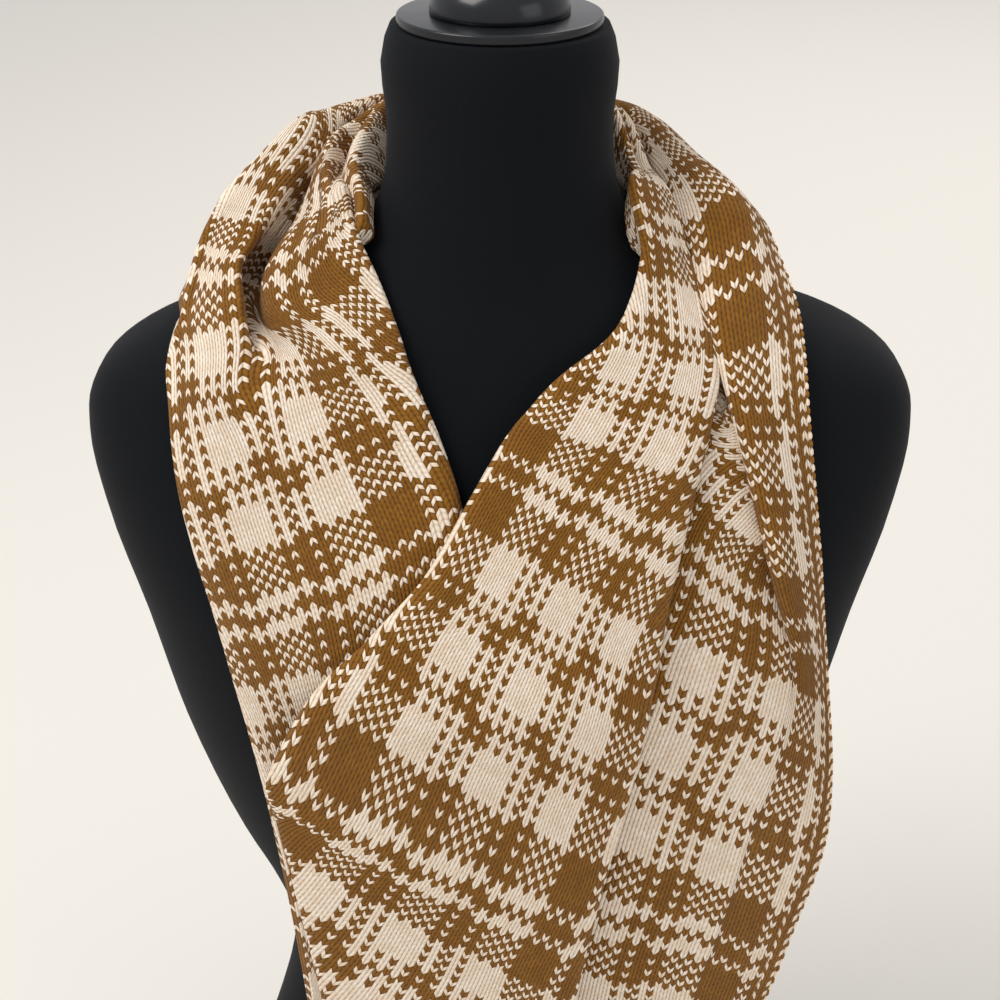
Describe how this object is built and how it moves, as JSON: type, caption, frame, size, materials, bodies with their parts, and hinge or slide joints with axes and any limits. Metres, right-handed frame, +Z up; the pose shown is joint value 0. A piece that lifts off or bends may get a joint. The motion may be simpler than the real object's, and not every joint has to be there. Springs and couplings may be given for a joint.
{
  "type": "knit scarf on a limbless dress form",
  "caption": "Long knitted scarf draped round the neck of a limbless torso display form, one end crossing over the other on the chest.",
  "frame": {"origin": "centre of the form's flat underside", "axes": "+Z up along the form to the knob, -Y the way the chest faces, +X to the viewer's right"},
  "size_m": [0.407, 0.2665, 0.7652],
  "materials": {
    "black jersey": "matte stretch jersey",
    "glossy cap": "gloss",
    "two colour knit": "soft two-colour jacquard knit"
  },
  "bodies": {
    "root": {"dress_form": "black jersey", "neck_cap_disc": "glossy cap", "neck_cap_knob": "glossy cap", "scarf_right_strand": "two colour knit", "scarf_left_strand": "two colour knit", "scarf_neck_stretch": "two colour knit"}
  },
  "joints": []
}
